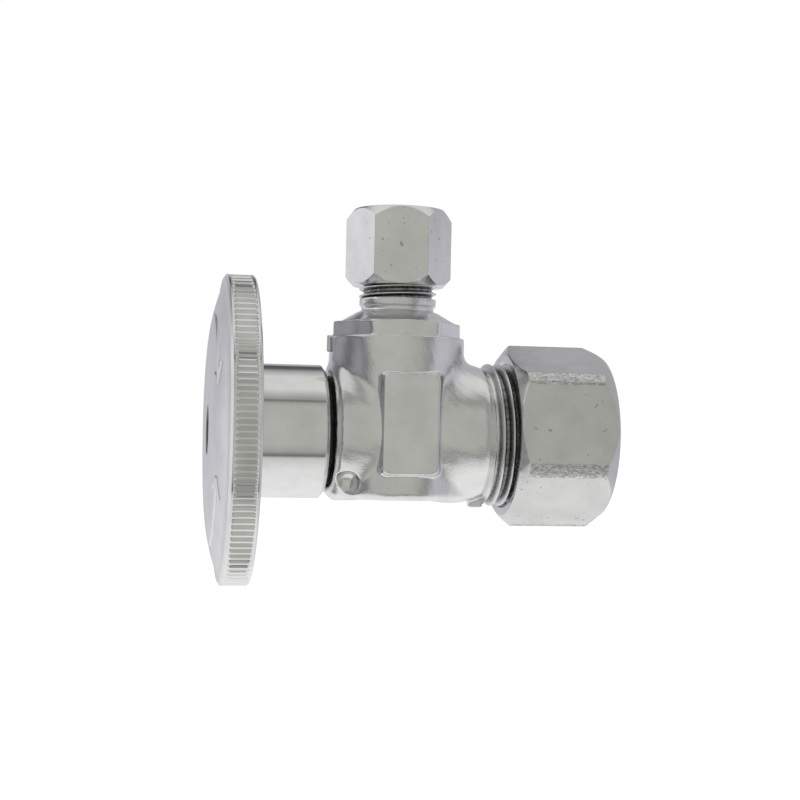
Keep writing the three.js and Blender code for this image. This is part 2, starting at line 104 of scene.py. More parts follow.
def rounded(profile, radius, steps=4, closed=False):
    """A profile whose corners are arcs. A corner is [r, z] or [r, z, its own radius]."""
    points = [np.array(p[:2], float) for p in profile]
    radii = [p[2] if len(p) > 2 else radius for p in profile]
    count = len(points)
    out = []
    for i in range(count):
        if not closed and i in (0, count - 1):
            out.append(points[i])
        else:
            after = points[(i + 1) % count]
            out.extend(arc_corner(points[i - 1], points[i], after, radii[i], steps))
    return out


def mesh_object(name, vertices, faces, place, sharp=40):
    """A mesh object from vertices in millimetres in the frame of one axis."""
    mesh = bpy.data.meshes.new(name)
    matrix = np.array(Matrix.Scale(MM, 4) @ place)
    points = np.asarray(vertices, float) @ matrix[:3, :3].T + matrix[:3, 3]
    mesh.from_pydata(points.tolist(), [], faces)
    obj = bpy.data.objects.new(name, mesh)
    bpy.context.scene.collection.objects.link(obj)
    clean(obj, sharp)
    return obj


def clean(obj, sharp=40):
    """Merges doubles, points the faces out, and shades smooth except at sharp edges."""
    work = bmesh.new()
    work.from_mesh(obj.data)
    bmesh.ops.remove_doubles(work, verts=work.verts, dist=2e-7)
    bmesh.ops.dissolve_degenerate(work, edges=work.edges, dist=1e-8)
    bmesh.ops.recalc_face_normals(work, faces=work.faces)
    for face in work.faces:
        face.smooth = True
    work.to_mesh(obj.data)
    work.free()
    obj.data.set_sharp_from_angle(angle=math.radians(sharp))


def even(columns):
    """Evenly spaced angles for a full turn."""
    return [2 * math.pi * j / columns for j in range(columns)]


def lathe(profile_at, angles, closed=True):
    """Vertices and faces of a profile swept about Z. profile_at(angle) gives its points."""
    vertices, faces = [], []
    rows = 0
    for angle in angles:
        points = profile_at(angle)
        rows = len(points)
        for radius, height in points:
            vertices.append((radius * math.cos(angle), radius * math.sin(angle), height))
    columns = len(angles)
    for j in range(columns):
        k = (j + 1) % columns
        for i in range(rows if closed else rows - 1):
            n = (i + 1) % rows
            faces.append((j * rows + i, k * rows + i, k * rows + n, j * rows + n))
    return vertices, faces


def turned(name, profile, place, columns=128, radius=0.1, steps=4):
    """A turned ring with rounded corners. Its profile closes on itself."""
    points = rounded(profile, radius, steps, closed=True)
    return mesh_object(name, *lathe(lambda angle: points, even(columns)), place)


def plug(name, profile, place, columns=96, radius=0.05, steps=2):
    """A turned solid whose profile starts and ends on the axis."""
    points = rounded(profile, radius, steps)[1:-1]
    vertices, faces = lathe(lambda angle: points, even(columns), closed=False)
    rows = len(points)
    faces.append(tuple(j * rows for j in range(columns)))
    faces.append(tuple(j * rows + rows - 1 for j in range(columns)))
    return mesh_object(name, vertices, faces, place)


def thread_radius(thread, phase, play):
    """Radius of a rounded thread form at a phase from 0 to 1; 0.5 is the crest."""
    crest = thread["radius"] + play
    root = crest - THREAD_DEPTH * thread["pitch"]
    height = min(max((0.375 - abs(phase - 0.5)) / 0.3125, 0), 1)
    eased = height * height * (3 - 2 * height)
    return root + (crest - root) * (0.35 * eased + 0.65 * height)


def thread_tube(thread, start, end, bounded, angles, play=0.0, rows_per_turn=16):
    """A helical surface from start to end. bounded(radius, height) limits its radius.

    The angles run once round, up to a full turn from any starting angle.
    """
    pitch = thread["pitch"]
    first = math.floor(start / pitch) - 2
    rows = (int(math.ceil((end - start) / pitch)) + 4) * rows_per_turn
    vertices, faces = [], []
    for angle in angles:
        fraction = angle / (2 * math.pi)
        for i in range(rows + 1):
            height = min(max((first + i / rows_per_turn + fraction) * pitch, start), end)
            phase = (height / pitch - fraction + 0.5) % 1.0
            radius = bounded(thread_radius(thread, phase, play), height)
            vertices.append((radius * math.cos(angle), radius * math.sin(angle), height))
    size = rows + 1
    columns = len(angles)
    for j in range(columns):
        k = (j + 1) % columns
        shift = rows_per_turn if k == 0 else 0
        for i in range(rows - shift):
            a, b = j * size + i, k * size + i + shift
            faces.append((a, b, b + 1, a + 1))
    return vertices, faces


def joined(*parts):
    """Joins (vertices, faces) pairs."""
    vertices, faces = [], []
    for part_vertices, part_faces in parts:
        base = len(vertices)
        vertices.extend(part_vertices)
        faces.extend(tuple(base + i for i in face) for face in part_faces)
    return vertices, faces


def boolean(obj, cutter, operation):
    """Applies a boolean and deletes the cutter."""
    modifier = obj.modifiers.new("cut", "BOOLEAN")
    modifier.operation = operation
    modifier.solver = "MANIFOLD"
    modifier.object = cutter
    graph = bpy.context.evaluated_depsgraph_get()
    mesh = bpy.data.meshes.new_from_object(obj.evaluated_get(graph))
    obj.modifiers.clear()
    obj.data = mesh
    bpy.data.objects.remove(cutter)


# ---- Materials -----------------------------------------------------------------------

class Nodes:
    """A short way to build a node material."""

    def __init__(self, name):
        self.material = bpy.data.materials.new(name)
        self.material.use_nodes = True
        self.tree = self.material.node_tree
        self.shader = self.tree.nodes["Principled BSDF"]
        self.place = self.add("ShaderNodeTexCoord").outputs["Object"]

    def add(self, kind, **values):
        node = self.tree.nodes.new(kind)
        for key, value in values.items():
            setattr(node, key, value)
        return node

    def link(self, source, target):
        self.tree.links.new(source, target)

    def math(self, operation, *values):
        node = self.add("ShaderNodeMath", operation=operation)
        for socket, value in zip(node.inputs, values):
            if isinstance(value, (int, float)):
                socket.default_value = value
            else:
                self.link(value, socket)
        return node.outputs["Value"]

    def mapped(self, stretch):
        mapping = self.add("ShaderNodeMapping")
        mapping.inputs["Scale"].default_value = stretch
        self.link(self.place, mapping.inputs["Vector"])
        return mapping.outputs["Vector"]

    def noise(self, scale, detail=4.0, roughness=0.5, stretch=(1, 1, 1)):
        node = self.add("ShaderNodeTexNoise")
        node.inputs["Scale"].default_value = scale
        node.inputs["Detail"].default_value = detail
        node.inputs["Roughness"].default_value = roughness
        self.link(self.mapped(stretch), node.inputs["Vector"])
        return node.outputs["Fac"]

    def remap(self, source, low, high, to_low, to_high):
        node = self.add("ShaderNodeMapRange")
        for key, value in zip(
                ("From Min", "From Max", "To Min", "To Max"), (low, high, to_low, to_high)):
            node.inputs[key].default_value = value
        self.link(source, node.inputs["Value"])
        return node.outputs["Result"]

    def ramp(self, source, *stops):
        node = self.add("ShaderNodeValToRGB")
        elements = node.color_ramp.elements
        while len(elements) < len(stops):
            elements.new(0.5)
        for element, (position, colour) in zip(elements, stops):
            element.position = position
            element.color = (*colour, 1)
        self.link(source, node.inputs["Fac"])
        return node.outputs["Color"]

    def mix(self, factor, first, second):
        node = self.add("ShaderNodeMix", data_type="RGBA")
        self.link(factor, node.inputs["Factor"])
        for key, value in (("A", first), ("B", second)):
            socket = next(s for s in node.inputs if s.name == key and s.type == "RGBA")
            if isinstance(value, tuple):
                socket.default_value = (*value, 1)
            else:
                self.link(value, socket)
        return next(s for s in node.outputs if s.type == "RGBA")

    def bump(self, height, distance, before=None):
        node = self.add("ShaderNodeBump")
        node.inputs["Distance"].default_value = distance
        self.link(height, node.inputs["Height"])
        if before is not None:
            self.link(before, node.inputs["Normal"])
        return node.outputs["Normal"]

    def coordinates(self):
        """X, Y and Z of the surface in metres."""
        split = self.add("ShaderNodeSeparateXYZ")
        self.link(self.place, split.inputs["Vector"])
        return split.outputs

    def radius(self, first, second, centre=0.0):
        """Distance from an axis, in metres. The first coordinate is taken from centre."""
        across = self.math("SUBTRACT", first, centre)
        square = self.math("MULTIPLY", across, across)
        total = self.math("MULTIPLY_ADD", second, second, square)
        return self.math("SQRT", total)

    def set(self, **values):
        for key, value in values.items():
            self.shader.inputs[key.replace("_", " ")].default_value = value

    def feed(self, source, socket):
        self.link(source, self.shader.inputs[socket])


def plating(nodes, tint, rough, wave, peel):
    """Colour, haze and surface shape shared by the chrome finishes."""
    dark = tuple(0.9 * c for c in tint)
    colour = nodes.ramp(nodes.noise(240, 6), (0.35, dark), (0.65, tint))
    haze = nodes.remap(nodes.noise(900, 6), 0.35, 0.7, *rough)
    waves = nodes.bump(nodes.noise(wave[0], 2), wave[1] * MM)
    fine = nodes.bump(nodes.noise(peel[0], 4, 0.6), peel[1] * MM, waves)
    nodes.set(Metallic=1.0)
    return colour, haze, fine


def forged_chrome():
    """Chrome over a forging: orange peel, and darker, rougher, speckled colour down in the
    threads.
    """
    nodes = Nodes("chrome_forged")
    colour, haze, surface = plating(
        nodes, (0.80, 0.80, 0.795), (0.05, 0.12), (330, 0.005), (3600, 0.035))
    x, y, z = nodes.coordinates()
    run = nodes.radius(y, z)
    stub = nodes.radius(x, y, OUTLET_X * MM)
    on_run = nodes.remap(x, (OUTLET_X + 12.9) * MM, (OUTLET_X + 13.3) * MM, 0, 1)
    on_stub = nodes.remap(z, 18.9 * MM, 19.3 * MM, 0, 1)
    deep_run = nodes.remap(run, 9.6 * MM, 10.25 * MM, 1, 0.1)
    deep_stub = nodes.remap(stub, 4.95 * MM, 5.5 * MM, 1, 0.15)
    # Darker, rougher colour down in the roots of the exposed threads, broken by a random speckle.
    thread_root_dark = nodes.math("MAXIMUM", nodes.math("MULTIPLY", on_run, deep_run),
                       nodes.math("MULTIPLY", on_stub, deep_stub))
    speckle = nodes.remap(nodes.noise(1800, 5), 0.3, 0.7, 0.7, 1.0)
    thread_root_dark = nodes.math("MULTIPLY", thread_root_dark, speckle)
    nodes.feed(nodes.mix(thread_root_dark, colour, (0.12, 0.12, 0.125)), "Base Color")
    nodes.feed(nodes.math("MULTIPLY_ADD", thread_root_dark, 0.22, haze), "Roughness")
    nodes.feed(surface, "Normal")
    return nodes.material


def cast_chrome():
    """Chrome over a die casting: bright outside, dull down in the hollow back."""
    nodes = Nodes("chrome_cast")
    colour, haze, surface = plating(
        nodes, (0.80, 0.80, 0.795), (0.05, 0.10), (300, 0.0012), (2300, 0.0009))
    x, y, z = nodes.coordinates()
    radius = nodes.radius(y, z)
    behind = nodes.remap(x, (OUTLET_X - 23.4) * MM, (OUTLET_X - 22.4) * MM, 0, 1)
    outside_skirt = nodes.remap(radius, 9.55 * MM, 9.7 * MM, 0, 1)
    inside_rim = nodes.remap(radius, 20.5 * MM, 20.9 * MM, 1, 0)
    hollow = nodes.math("MULTIPLY", behind, nodes.math("MULTIPLY", outside_skirt, inside_rim))
    face = nodes.remap(x, (OUTLET_X - 24.6) * MM, (OUTLET_X - 25.3) * MM, 0, 0.16)
    hole = nodes.remap(radius, 3.55 * MM, 3.75 * MM, 0.85, 0)
    colour = nodes.mix(hollow, colour, (0.22, 0.22, 0.23))
    nodes.feed(nodes.mix(hole, colour, (0.05, 0.045, 0.04)), "Base Color")
    rough = nodes.math("MULTIPLY_ADD", hollow, 0.35, nodes.math("ADD", haze, face))
    nodes.feed(rough, "Roughness")
    nodes.feed(surface, "Normal")
    return nodes.material


def machined_chrome(name, tint, centre, ring_scale, band):
    """Chrome over a machined nut: faint cutter marks, and frosted corners past a radius."""
    nodes = Nodes(name)
    colour, haze, surface = plating(nodes, tint, (0.13, 0.24), (420, 0.0016), (3600, 0.0016))
    shifted = nodes.add("ShaderNodeMapping")
    shifted.inputs["Location"].default_value = centre
    nodes.link(nodes.place, shifted.inputs["Vector"])
    marks = nodes.add("ShaderNodeTexWave", wave_type="RINGS", rings_direction="SPHERICAL")
    marks.inputs["Scale"].default_value = ring_scale
    marks.inputs["Distortion"].default_value = 1.5
    nodes.link(shifted.outputs["Vector"], marks.inputs["Vector"])
    cuts = nodes.bump(marks.outputs["Fac"], 0.00035 * MM, surface)
    if band:
        x, y, z = nodes.coordinates()
        radius = nodes.radius(y, z)
        frost = nodes.remap(radius, (band - 0.06) * MM, (band + 0.02) * MM, 0, 1)
        fine = nodes.noise(5200, 3, 0.7, (0.35, 1, 1))
        colour = nodes.mix(frost, colour, nodes.ramp(
            fine, (0.42, (0.42, 0.42, 0.42)), (0.6, (0.82, 0.82, 0.81))))
        haze = nodes.math("MULTIPLY_ADD", frost, 0.22, haze)
    specks = nodes.remap(nodes.noise(1300, 2, 0.4), 0.70, 0.74, 0, 0.6)
    nodes.feed(nodes.mix(specks, colour, (0.25, 0.25, 0.25)), "Base Color")
    nodes.feed(haze, "Roughness")
    nodes.feed(cuts, "Normal")
    return nodes.material


def brass():
    """Turned brass with faint tool marks and tarnish."""
    nodes = Nodes("brass_turned")
    colour = nodes.ramp(
        nodes.noise(300, 6), (0.3, (0.36, 0.25, 0.11)), (0.7, (0.66, 0.49, 0.24)))
    nodes.feed(colour, "Base Color")
    nodes.feed(nodes.remap(nodes.noise(900, 5), 0.3, 0.7, 0.22, 0.4), "Roughness")
    nodes.feed(nodes.bump(nodes.noise(3000, 3), 0.004 * MM), "Normal")
    nodes.set(Metallic=1.0)
    return nodes.material


def matt(name, low, high, rough, scale=1500):
    """Rubber or packing: a dull, slightly mottled surface."""
    nodes = Nodes(name)
    nodes.feed(nodes.ramp(nodes.noise(scale / 3, 6), (0.3, low), (0.7, high)), "Base Color")
    nodes.feed(nodes.remap(nodes.noise(scale, 4), 0.3, 0.7, rough - 0.1, rough), "Roughness")
    nodes.feed(nodes.bump(nodes.noise(scale * 2, 4), 0.02 * MM), "Normal")
    return nodes.material


def spring_steel():
    """Drawn spring steel."""
    nodes = Nodes("steel_spring")
    colour = nodes.ramp(
        nodes.noise(400, 4), (0.3, (0.35, 0.35, 0.36)), (0.7, (0.55, 0.55, 0.56)))
    nodes.feed(colour, "Base Color")
    nodes.feed(nodes.remap(nodes.noise(1200, 4), 0.3, 0.7, 0.25, 0.4), "Roughness")
    nodes.set(Metallic=1.0)
    return nodes.material


CHROME_BODY = forged_chrome()
CHROME_HANDLE = cast_chrome()
CHROME_LARGE = machined_chrome(
    "chrome_large_nut", (0.70, 0.70, 0.69), (0.012, 0, 0.03), 500, 13.12)
CHROME_SMALL = machined_chrome(
    "chrome_small_nut", (0.80, 0.80, 0.795), (0.05, 0, 0.01), 500, None)
BRASS = brass()
RUBBER = matt("rubber_black", (0.008, 0.008, 0.008), (0.02, 0.02, 0.02), 0.8)
PACKING = matt("packing_graphite", (0.03, 0.03, 0.035), (0.09, 0.09, 0.1), 0.6)
STEEL = spring_steel()


def finish_piece(obj, body, node, material):
    """Puts a new piece on its body in place of its CAD node."""
    obj.data.materials.clear()
    obj.data.materials.append(material)
    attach(obj, body)
    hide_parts(node)


# ---- Nuts ----------------------------------------------------------------------------

SECTOR = math.pi / 3


def hex_angles(turn, corner_half):
    """Angles round a hexagon that fall on its corners and on the edges of their bands."""
    offsets = [-30 + corner_half * t for t in (0, 0.5, 0.97, 1.15)]
    inner = 30 - corner_half * 1.15
    offsets += [-inner + 2 * inner * i / 14 for i in range(1, 14)]
    offsets += [30 - corner_half * t for t in (1.15, 0.97, 0.5)]
    return [math.radians(60 * k - 90 + turn + offset) for k in range(6) for offset in offsets]


def hex_radius(angle, flats, limit):
    """Radius of a hexagon whose corners are cut by a circle; a flat faces -Y at -90."""
    offset = (angle + math.pi / 2 + SECTOR / 2) % SECTOR - SECTOR / 2
    return min(flats / 2 / math.cos(offset), limit)


def compression_nut(name, thread, place, *, flats, start, end, turn, limit, face, slopes,
                    tube, thread_end):
    """A hexagonal nut with cone-cut ends, a female thread and a cone for the sleeve.

    limit, face and tube are the radii of the corners, the end faces and the tube's hole.
    slopes are those of the end cones, the start's first.
    """
    relief = thread["radius"] + 0.28
    minor = thread["radius"] - THREAD_DEPTH * thread["pitch"] + 2 * THREAD_PLAY
    lead_start = start + 0.3
    corner_half = 30 - math.degrees(math.acos(flats / 2 / limit))
    angles = hex_angles(turn, max(corner_half, 0.8))

    def profile(angle):
        side = hex_radius(angle - math.radians(turn), flats, limit)
        low, high = [max(side - face, 0.02) * slope for slope in slopes]
        return rounded([
            [relief, thread_end, 0],
            [relief, thread_end + 0.7],
            [tube, thread_end + 0.7 + 0.8 * (relief - tube)],
            [tube, end, 0.25],
            [face, end, 0.12],
            [side, end - high, 0.06],
            [side, start + low, 0.06],
            [face, start, 0.12],
            [relief, start, 0.15],
            [relief - 0.25, lead_start, 0],
        ], 0.1, 4)

    def bounded(radius, height):
        if height <= lead_start + 1e-9:
            return relief - 0.25
        if height >= thread_end - 1e-9:
            return relief
        return max(radius, relief - (height - start), minor)

    shell = lathe(profile, angles, closed=False)
    threads = thread_tube(thread, lead_start, thread_end, bounded, angles, THREAD_PLAY)
    return mesh_object(name, *joined(shell, threads), place, 25)


inlet_nut = compression_nut(
    "compression_nut_large", INLET_THREAD, INLET, flats=23.7,
    start=INLET_LOW.x - OUTLET_X, end=INLET_HIGH.x - OUTLET_X, turn=-8.8,
    limit=13.22, face=11.7, slopes=(0.80, 1.30), tube=8.3, thread_end=25.2)
finish_piece(inlet_nut, "inlet_nut", "inlet_nut", CHROME_LARGE)

outlet_nut = compression_nut(
    "compression_nut_small", OUTLET_THREAD, UP, flats=13.25,
    start=OUTLET_LOW.z, end=OUTLET_HIGH.z, turn=-6.5,
    limit=7.60, face=6.48, slopes=(1.12, 1.35), tube=3.45, thread_end=28.3)
finish_piece(outlet_nut, "outlet_nut", "outlet_nut", CHROME_SMALL)


# ---- Handle --------------------------------------------------------------------------

RIM_RADIUS = HANDLE_HIGH.z
HANDLE_CROWN = OUTLET_X - HANDLE_LOW.x
SKIRT_END = OUTLET_X - HANDLE_HIGH.x
HANDLE_FRONT = 25.1
HANDLE_BACK = 20.9
BAND_START = 21.4
BAND_END = 24.45
CROWN_RADIUS = 11.0
FACE_EDGE = RIM_RADIUS - 1.4
FLUTE_DEPTH = 0.38
SKIRT_RADIUS = 9.5
SKIRT_BORE = 8.0
HUB_END = 20.5
WEB_BACK = 23.1
HOLE_RADIUS = 3.5
HOLE_FLOOR = 24.9


def dome(radius):
    """Height of the domed face at a radius."""
    reach = max(radius - CROWN_RADIUS, 0) / (FACE_EDGE - CROWN_RADIUS)
    return HANDLE_CROWN - (HANDLE_CROWN - HANDLE_FRONT) * reach ** 2


def rim_columns():
    """Angles round the rim and each one's flute depth from 0 to 1.

    The flutes lie in two rows, each closest in its middle, at -Y and +Y. The rim is plain
    between the rows, at the top and bottom.
    """
    columns = []
    for half in (-math.pi / 2, math.pi / 2):
        edges = [0.0]
        while edges[-1] < math.radians(74):
            step = 2.25 * (1 + 1.2 * (1 - math.cos(edges[-1])))
            edges.append(edges[-1] + math.radians(step))
        edges = [-edge for edge in reversed(edges[1:])] + edges
        for low, high in zip(edges, edges[1:]):
            for i in range(8):
                t = i / 8
                groove = max(0.0, 1 - abs(2 * t - 1) / 0.62) ** 0.6
                columns.append((half + low + (high - low) * t, groove))
        plain_start, plain_end = edges[-1], math.pi - edges[-1]
        for i in range(16):
            t = i / 16
            columns.append((half + plain_start + (plain_end - plain_start) * t, 0.0))
    return columns


def handle_mesh():
    columns = rim_columns()
    depth_at = dict(columns)
    face_steps = [FACE_EDGE + (9.0 - FACE_EDGE) * i / 12 for i in range(13)]
    band = BAND_END - BAND_START

    def profile(angle):
        depth = FLUTE_DEPTH * depth_at[angle]
        offset = (angle + math.pi / 4) % (math.pi / 2) - math.pi / 4
        socket = min(2.42 / math.cos(offset), 3.3)
        slot = []
        for i in range(17):
            t = i / 16
            side = min(t, 1 - t) * band
            end = math.sqrt(max(0.0, 1 - (1 - min(side / 0.34, 1)) ** 2))
            slot.append([RIM_RADIUS - 0.05 - depth * end, BAND_START + band * t, 0])
        return rounded([
            [socket, HUB_END, 0.1],
            [SKIRT_BORE, HUB_END, 0.4],
            [SKIRT_BORE, SKIRT_END, 0.12],
            [8.75, SKIRT_END, 0.08],
            [SKIRT_RADIUS, SKIRT_END + 0.6, 0.15],
            [SKIRT_RADIUS, WEB_BACK - 0.6, 0.3],
            [SKIRT_RADIUS + 0.6, WEB_BACK, 0.5],
            [RIM_RADIUS - 2.6, WEB_BACK, 0.6],
            [RIM_RADIUS - 1.8, HANDLE_BACK, 0.3],
            [RIM_RADIUS - 0.25, HANDLE_BACK, 0.15],
            [RIM_RADIUS, HANDLE_BACK + 0.25, 0.1],
            [RIM_RADIUS, BAND_START - 0.06, 0.05],
            *slot,
            [RIM_RADIUS, BAND_END + 0.06, 0.05],
            [RIM_RADIUS, BAND_END + 0.3, 0.1],
            [RIM_RADIUS - 0.55, HANDLE_FRONT, 0.2],
            *[[radius, dome(radius), 0] for radius in face_steps],
            [HOLE_RADIUS, HANDLE_CROWN, 0.35],
            [HOLE_RADIUS, HOLE_FLOOR, 0.1],
            [socket, HOLE_FLOOR, 0.1],
        ], 0.1, 3, closed=True)

    return lathe(profile, [angle for angle, depth in columns])


def raised_stroke(path, width, height):
    """A raised line on the handle's face along a path of (radius, angle) points."""
    vertices, faces = [], []
    section = [(-0.5, -0.5), (-0.5, 0.35), (-0.36, 0.85), (-0.15, 1.0),
               (0.15, 1.0), (0.36, 0.85), (0.5, 0.35), (0.5, -0.5)]
    points = [np.array([r * math.cos(a), r * math.sin(a)]) for r, a in path]
    for i, point in enumerate(points):
        ahead = points[min(i + 1, len(points) - 1)] - points[max(i - 1, 0)]
        ahead = ahead / np.linalg.norm(ahead)
        side = np.array([-ahead[1], ahead[0]])
        for across, lift in section:
            x, y = point + side * across * width
            vertices.append((x, y, dome(math.hypot(x, y)) + lift * height))
    count = len(section)
    for i in range(len(points) - 1):
        for j in range(count):
            k = (j + 1) % count
            near, far = i * count, (i + 1) * count
            faces.append((near + j, near + k, far + k, far + j))
    faces.append(tuple(range(count)))
    faces.append(tuple((len(points) - 1) * count + j for j in range(count)))
    return vertices, faces


def turn_arrow(middle, sweep, radius=16.2):
    """A curved arrow for the opening or closing direction."""
    steps = 28
    line = [(radius, middle + sweep * (i / steps - 0.5)) for i in range(steps + 1)]
    tip = middle + sweep * 0.5
    lean = math.copysign(0.13, sweep)
    barbs = [[(radius + across, tip - lean), (radius + across / 2, tip - lean / 2),
              (radius, tip + lean * 0.1)] for across in (1.7, -1.7)]
    return [line, *barbs]


handle = mesh_object("round_handle", *handle_mesh(), HANDLE, 35)
for arrow_middle, arrow_sweep in ((52, -1.0), (-52, 1.0)):
    for stroke in turn_arrow(math.radians(arrow_middle - 90), arrow_sweep):
        mark = mesh_object("mark", *raised_stroke(stroke, 0.75, 0.2), HANDLE)
        boolean(handle, mark, "UNION")
clean(handle, 35)
finish_piece(handle, "stem_and_handle", "handle", CHROME_HANDLE)


# ---- Valve body ----------------------------------------------------------------------

VOXEL = 0.14

# Measured from the axes' crossing. The boss stands along Z, and the run lies along X.
BOSS_RADIUS, BOSS_BOTTOM, BOSS_TOP = 9.7, -9.35, 13.7
RUN_RADIUS, RUN_LEFT, RUN_RIGHT, RUN_HEIGHT = 9.75, -9.85, 13.3, 0.25
COLLAR_BOTTOM, COLLAR_TOP, CONE_TOP, CONE_RADIUS = 12, 15.85, 17.35, 8.25
PAD_X, PAD_Z, PAD_FACE = 0.55, 1.35, -10.2
PAD_HALF_WIDTH, PAD_HALF_HEIGHT, PAD_CORNER = 3.92, 6.95, 1.1


def smooth_union(a, b, radius):
    blend = np.clip(0.5 + 0.5 * (b - a) / radius, 0, 1)
    return b + (a - b) * blend - radius * blend * (1 - blend)


def smooth_cut(a, b, radius):
    """The common part of a and b with rounded edges."""
    return -smooth_union(-a, -b, radius)


def between(value, low, high):
    """Distance to the slab from low to high."""
    return np.abs(value - (low + high) / 2) - (high - low) / 2


def block(x, y, z, centre, half, corner):
    """Distance to a box with rounded corners."""
    deltas = [np.abs(v - c) - h + corner for v, c, h in zip((x, y, z), centre, half)]
    outside = np.sqrt(sum(np.maximum(d, 0) ** 2 for d in deltas))
    inside = np.minimum(np.maximum(np.maximum(deltas[0], deltas[1]), deltas[2]), 0)
    return outside + inside - corner


def sphere(x, y, z, centre, radius):
    cx, cy, cz = centre
    return np.sqrt((x - cx) ** 2 + (y - cy) ** 2 + (z - cz) ** 2) - radius


def boss_and_run(x, y, z):
    """The upright boss, joined to the run by web-like fillets that fade to the front."""
    around_up = np.sqrt(x * x + y * y)
    around_run = np.sqrt(y * y + (z - RUN_HEIGHT) ** 2)
    boss = smooth_cut(around_up - BOSS_RADIUS, z - BOSS_TOP, 0.35)
    boss = smooth_cut(boss, BOSS_BOTTOM - z, 1.5)
    left = smooth_cut(around_run - RUN_RADIUS, RUN_LEFT - x, 0.2)
    bevel = around_run - (8.7 + 1.15 * np.maximum(x - RUN_LEFT, 0))
    left = smooth_cut(left, bevel, 0.5)
    left = np.maximum(left, x - 1)
    right = smooth_cut(around_run - RUN_RADIUS, x - RUN_RIGHT, 2.6)
    right = np.maximum(right, -x)
    # A wide blend would swell the front, where both cylinders are flush, so it fades there.
    fade = np.clip((np.abs(x) - 3) / 4, 0, 1)
    body = smooth_union(boss, left, 0.25 + 1.1 * fade)
    return smooth_union(body, right, 0.25 + 1.8 * fade)


def collar_and_cone(x, y, z):
    """The hexagonal collar, the cone above it and the foot of the outlet thread."""
    around_up = np.sqrt(x * x + y * y)
    hexagon = np.abs(y)
    for turn in (60, 120):
        c, s = math.cos(math.radians(turn)), math.sin(math.radians(turn))
        hexagon = np.maximum(hexagon, np.abs(s * x + c * y))
    sides = smooth_cut(hexagon - 8.2, around_up - 9.25, 0.15)
    collar = smooth_cut(sides, between(z, COLLAR_BOTTOM, COLLAR_TOP), 0.2)
    slope = 0.5 * (around_up - (CONE_RADIUS - 1.73 * (z - COLLAR_TOP)))
    cone = np.maximum(slope, around_up - CONE_RADIUS)
    cone = smooth_cut(cone, between(z, 14, CONE_TOP), 0.12)
    neck = np.maximum(around_up - 5.2, between(z, 16, 18.6))
    foot = smooth_cut(around_up - 5.5, between(z, 18.15, 19.25), 0.12)
    collar = smooth_union(collar, cone, 0.15)
    return smooth_union(collar, smooth_union(neck, foot, 0.25), 0.35)


def plain_pad(x, y, z):
    """The raised rectangular pad on the front, with drafted sides."""
    draft = 0.32 * np.clip(y - PAD_FACE, 0, 3)
    width = np.abs(x - PAD_X) - (PAD_HALF_WIDTH - PAD_CORNER) - draft
    height = np.abs(z - PAD_Z) - (PAD_HALF_HEIGHT - PAD_CORNER) - draft
    outline = np.sqrt(np.maximum(width, 0) ** 2 + np.maximum(height, 0) ** 2) - PAD_CORNER
    outline = outline + np.minimum(np.maximum(width, height), 0)
    return smooth_cut(outline, between(y, PAD_FACE, -4), 0.22)


def forging(x, y, z):
    """Distance to the forged body's outside, in millimetres from the axes' crossing."""
    waves = 0.022 * np.sin(1.3 * x + 0.7 * z + 1.3) * np.sin(1.1 * z - 0.5 * y + 0.4)
    waves = waves + 0.010 * np.sin(2.7 * y + 1.1 * x) * np.sin(2.3 * z + 1.9 * x + 2.0)
    body = boss_and_run(x, y, z) + waves
    body = smooth_union(body, collar_and_cone(x, y, z) + 0.4 * waves, 0.12)
    body = smooth_union(body, plain_pad(x, y, z) + 0.25 * waves, 0.3)
    tang = block(x, y, z, (12.0, 0, -9.6), (1.0, 0.8, 1.0), 0.3)
    body = smooth_union(body, tang, 0.5)
    tab = block(x, y, z, (-9.75, -0.3, 12.6), (0.4, 0.5, 1.2), 0.15)
    body = smooth_union(body, tab, 0.15)
    dimple = sphere(x, y, z, (-7.9, -7.3, -7.0), 1.75)
    return smooth_cut(body, -dimple, 0.25)


def voxel_mesh(distance, low, high, size):
    """Quads of the zero surface of a distance function, sampled on a grid."""
    axes = [np.arange(a, b + size, size, dtype=np.float32) for a, b in zip(low, high)]
    field = distance(*np.meshgrid(*axes, indexing="ij", sparse=True)).astype(np.float32)
    grid = openvdb.FloatGrid()
    grid.background = float(4 * size)
    grid.copyFromArray(np.clip(field, -4 * size, 4 * size))
    points, quads = grid.convertToQuads()
    points = points * size + np.array(low)
    return points.tolist(), [tuple(int(i) for i in quad) for quad in quads]


def male_stub(name, thread, start, end, bore, place, columns):
    """A ring with a male thread outside; its start lies inside the forging."""
    root = thread["radius"] - THREAD_DEPTH * thread["pitch"]
    foot, tip = root - 0.2, thread["radius"] - 0.85

    def bounded(radius, height):
        if height <= start + 1e-9:
            return foot
        if height >= end - 1e-9:
            return tip
        return min(radius, tip + (end - height), foot + 2 * (height - start))

    angles = even(columns)
    outside = thread_tube(thread, start, end, bounded, angles)
    ring = [[foot, start], [bore, start], [bore, end], [tip, end]]
    inside = lathe(lambda angle: ring, angles, closed=False)
    return mesh_object(name, *joined(outside, inside), place)


